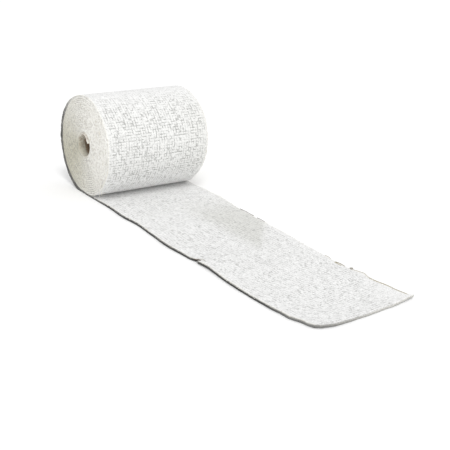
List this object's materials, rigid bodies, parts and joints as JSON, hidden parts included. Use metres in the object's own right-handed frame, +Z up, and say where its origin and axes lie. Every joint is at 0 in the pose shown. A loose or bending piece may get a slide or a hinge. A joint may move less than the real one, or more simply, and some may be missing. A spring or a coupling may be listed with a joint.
{
  "type": "plaster bandage roll",
  "caption": "Roll of plaster-filled gauze bandage wound on a thin card core, with its free end laid out flat on the surface.",
  "frame": {"origin": "on the resting surface, straight below the roll's axis and halfway along it", "axes": "+X along the free end, away from the roll; +Y along the roll's axis; +Z up"},
  "size_m": [0.2793, 0.0873, 0.07],
  "materials": {
    "plaster_cloth": "matte",
    "card": "matte"
  },
  "bodies": {
    "root": {"wound_roll": "plaster_cloth", "loose_end": "plaster_cloth", "core": "card"}
  },
  "joints": []
}
